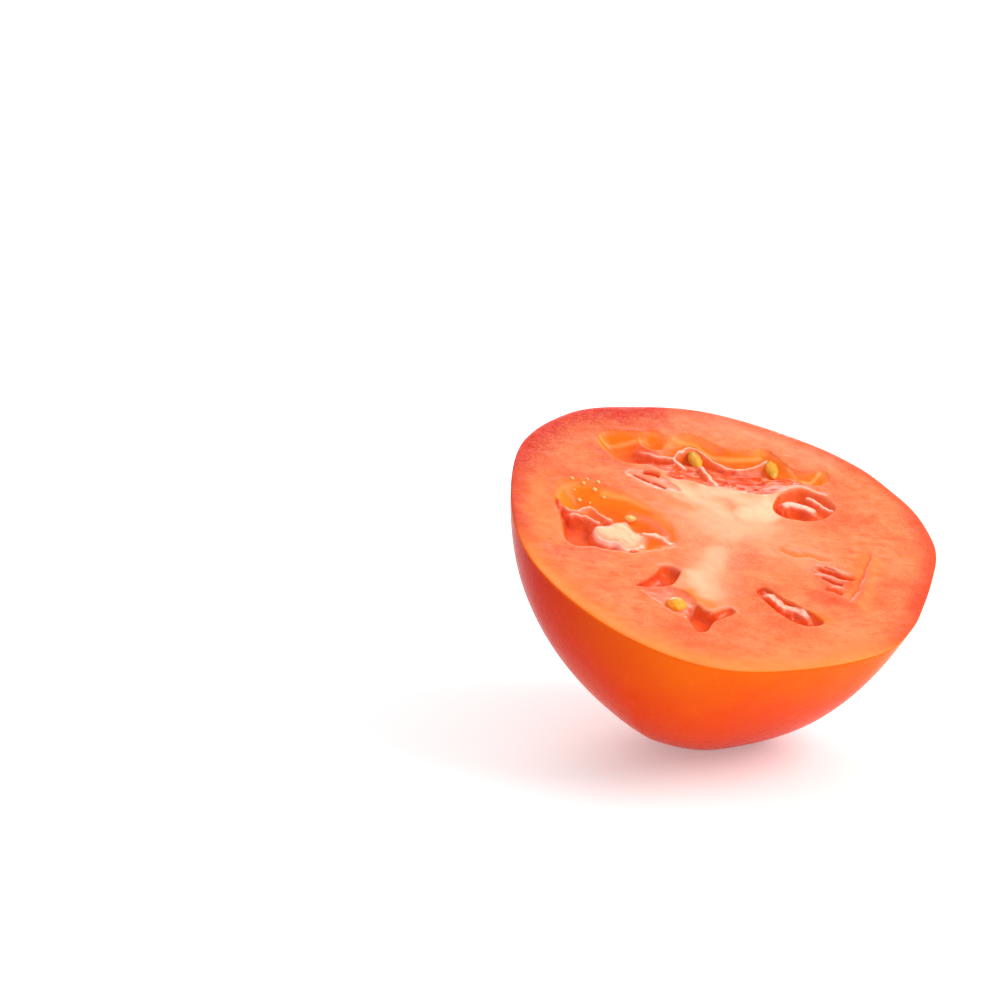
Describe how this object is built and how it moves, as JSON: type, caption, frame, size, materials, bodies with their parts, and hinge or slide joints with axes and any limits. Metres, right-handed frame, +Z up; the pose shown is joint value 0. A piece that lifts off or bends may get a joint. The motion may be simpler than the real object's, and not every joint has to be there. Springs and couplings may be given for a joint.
{
  "type": "chonto tomato half",
  "caption": "Half of a ripe tomato, cut across its middle and lying cut side up, with seed chambers, gel and seeds round a pale core.",
  "frame": {"origin": "centre of the small flat spot that the fruit rests on", "axes": "+Z up; +X to the viewer's right along the cut face, +Y away from the viewer, towards the raised back edge of the cut"},
  "size_m": [0.0609, 0.0564, 0.0428],
  "materials": {
    "flesh_and_skin": "wet orange-red flesh on the cut, smooth glossy orange to red skin outside"
  },
  "bodies": {
    "root": {"tomato_half": "flesh_and_skin"}
  },
  "joints": []
}
